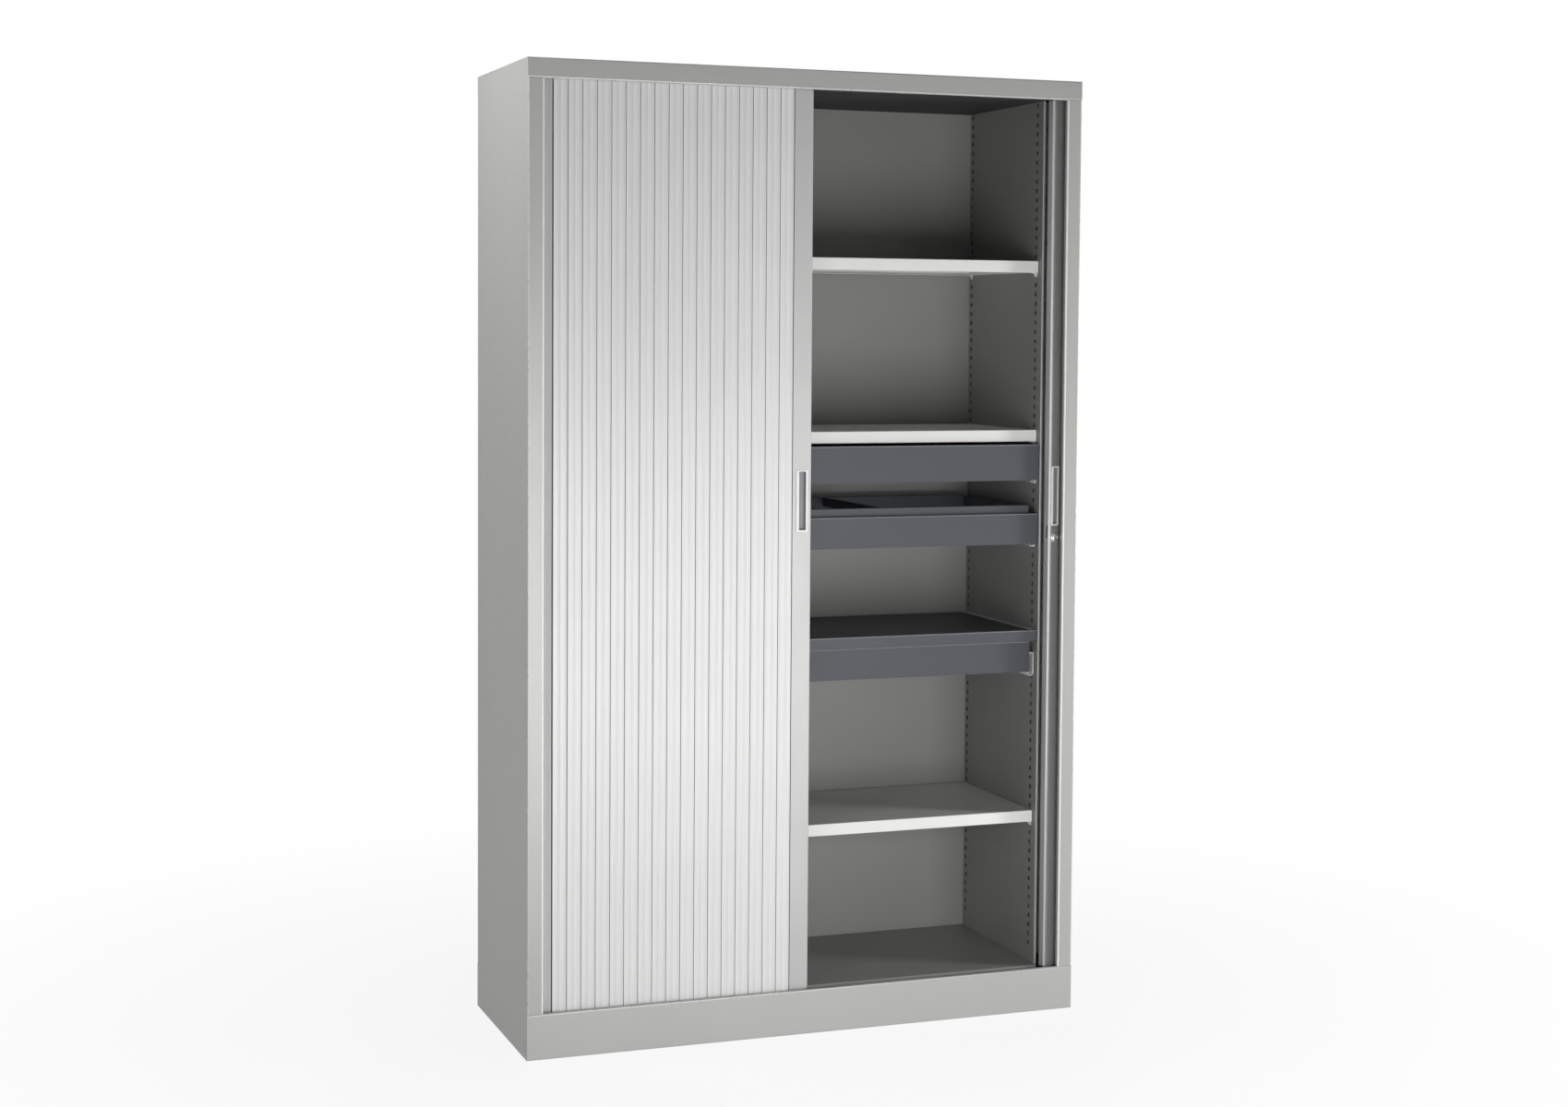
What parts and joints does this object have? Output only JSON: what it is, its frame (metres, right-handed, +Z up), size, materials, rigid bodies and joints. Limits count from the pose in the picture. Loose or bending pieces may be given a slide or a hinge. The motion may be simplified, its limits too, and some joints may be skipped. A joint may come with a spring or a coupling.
{
  "type": "tambour door cabinet",
  "caption": "Tall free-standing steel cupboard with two side-opening tambour shutters, shelves, pull-out drawer and filing frames.",
  "frame": {"origin": "on the ground, under the middle of the cupboard's overall box", "axes": "+X to the right as seen from the front, +Y to the rear, +Z up; the shutters close at the front, -Y"},
  "size_m": [1.2, 0.43, 1.98],
  "materials": {
    "painted_steel": "satin",
    "anthracite_steel": "satin",
    "shutter_plastic": "matte",
    "stile_aluminium": "satin",
    "handle_plastic": "satin",
    "track_plastic": "matte",
    "zinc_steel": "satin",
    "lock_chrome": "polished"
  },
  "bodies": {
    "root": {"base_panel": "painted_steel", "ceiling_panel": "painted_steel", "floor_stiffeners": "painted_steel", "inner_back": "painted_steel", "left_corner_slats": "shutter_plastic", "left_front_slats": "shutter_plastic", "left_liner": "painted_steel", "left_side_panel": "painted_steel", "lower_filing_frame": "anthracite_steel", "lower_frame_inner_runners": "zinc_steel", "lower_frame_outer_runners": "zinc_steel", "lower_left_track": "track_plastic", "lower_right_track": "track_plastic", "lower_shelf": "painted_steel", "middle_shelf": "painted_steel", "outer_back": "painted_steel", "plinth": "painted_steel", "pull_out_tray": "anthracite_steel", "reference_inner_runners": "zinc_steel", "reference_outer_runners": "zinc_steel", "reference_shelf": "anthracite_steel", "right_liner": "painted_steel", "right_rear_slats": "shutter_plastic", "right_side_panel": "painted_steel", "right_side_slats": "shutter_plastic", "shelf_clips": "zinc_steel", "top_panel": "painted_steel", "tray_front": "anthracite_steel", "tray_inner_runners": "zinc_steel", "tray_outer_runners": "zinc_steel", "upper_filing_frame": "anthracite_steel", "upper_frame_inner_runners": "zinc_steel", "upper_frame_outer_runners": "zinc_steel", "upper_left_track": "track_plastic", "upper_right_track": "track_plastic", "upper_shelf": "painted_steel"},
    "left_carriage": {"left_guide_shoes": "track_plastic"},
    "left_leading_stile": {"left_stile": "stile_aluminium", "left_stile_end_caps": "track_plastic", "left_handle": "handle_plastic", "strike_plate": "zinc_steel"},
    "right_carriage": {"right_guide_shoes": "track_plastic"},
    "right_leading_stile": {"right_stile": "stile_aluminium", "right_stile_end_caps": "track_plastic", "right_handle": "handle_plastic", "lock_housing": "lock_chrome"},
    "lock": {"lock_plug": "lock_chrome", "lock_hook": "lock_chrome"}
  },
  "joints": [
    {"name": "left_shutter", "type": "slide", "parent": "root", "child": "left_carriage", "axis": [1, 0, 0], "range_m": [-0.5347, 0], "deforming": ["left_front_slats", "left_corner_slats"]},
    {"name": "left_stile_tilt", "type": "hinge", "parent": "left_carriage", "child": "left_leading_stile", "pos_m": [-0.007, -0.1955, 0.1], "axis": [0, 0, 1], "range_deg": [-26.77, 0]},
    {"name": "right_shutter", "type": "slide", "parent": "root", "child": "right_carriage", "axis": [1, 0, 0], "range_m": [-0.5347, 0], "deforming": ["right_side_slats", "right_rear_slats"]},
    {"name": "right_stile_tilt", "type": "hinge", "parent": "right_carriage", "child": "right_leading_stile", "pos_m": [0.5417, -0.1955, 0.1], "axis": [0, 0, 1], "range_deg": [-26.77, 0]},
    {"name": "lock_hook_turn", "type": "hinge", "parent": "right_leading_stile", "child": "lock", "pos_m": [0.55579, -0.19567, 1.0146], "axis": [0.4504, -0.8928, 0], "range_deg": [0, 90]}
  ],
  "couplings": [
    {"joint": "left_stile_tilt", "follows": "left_shutter", "rad_per_m": 0.87376},
    {"joint": "right_stile_tilt", "follows": "right_shutter", "rad_per_m": 0.87376}
  ]
}
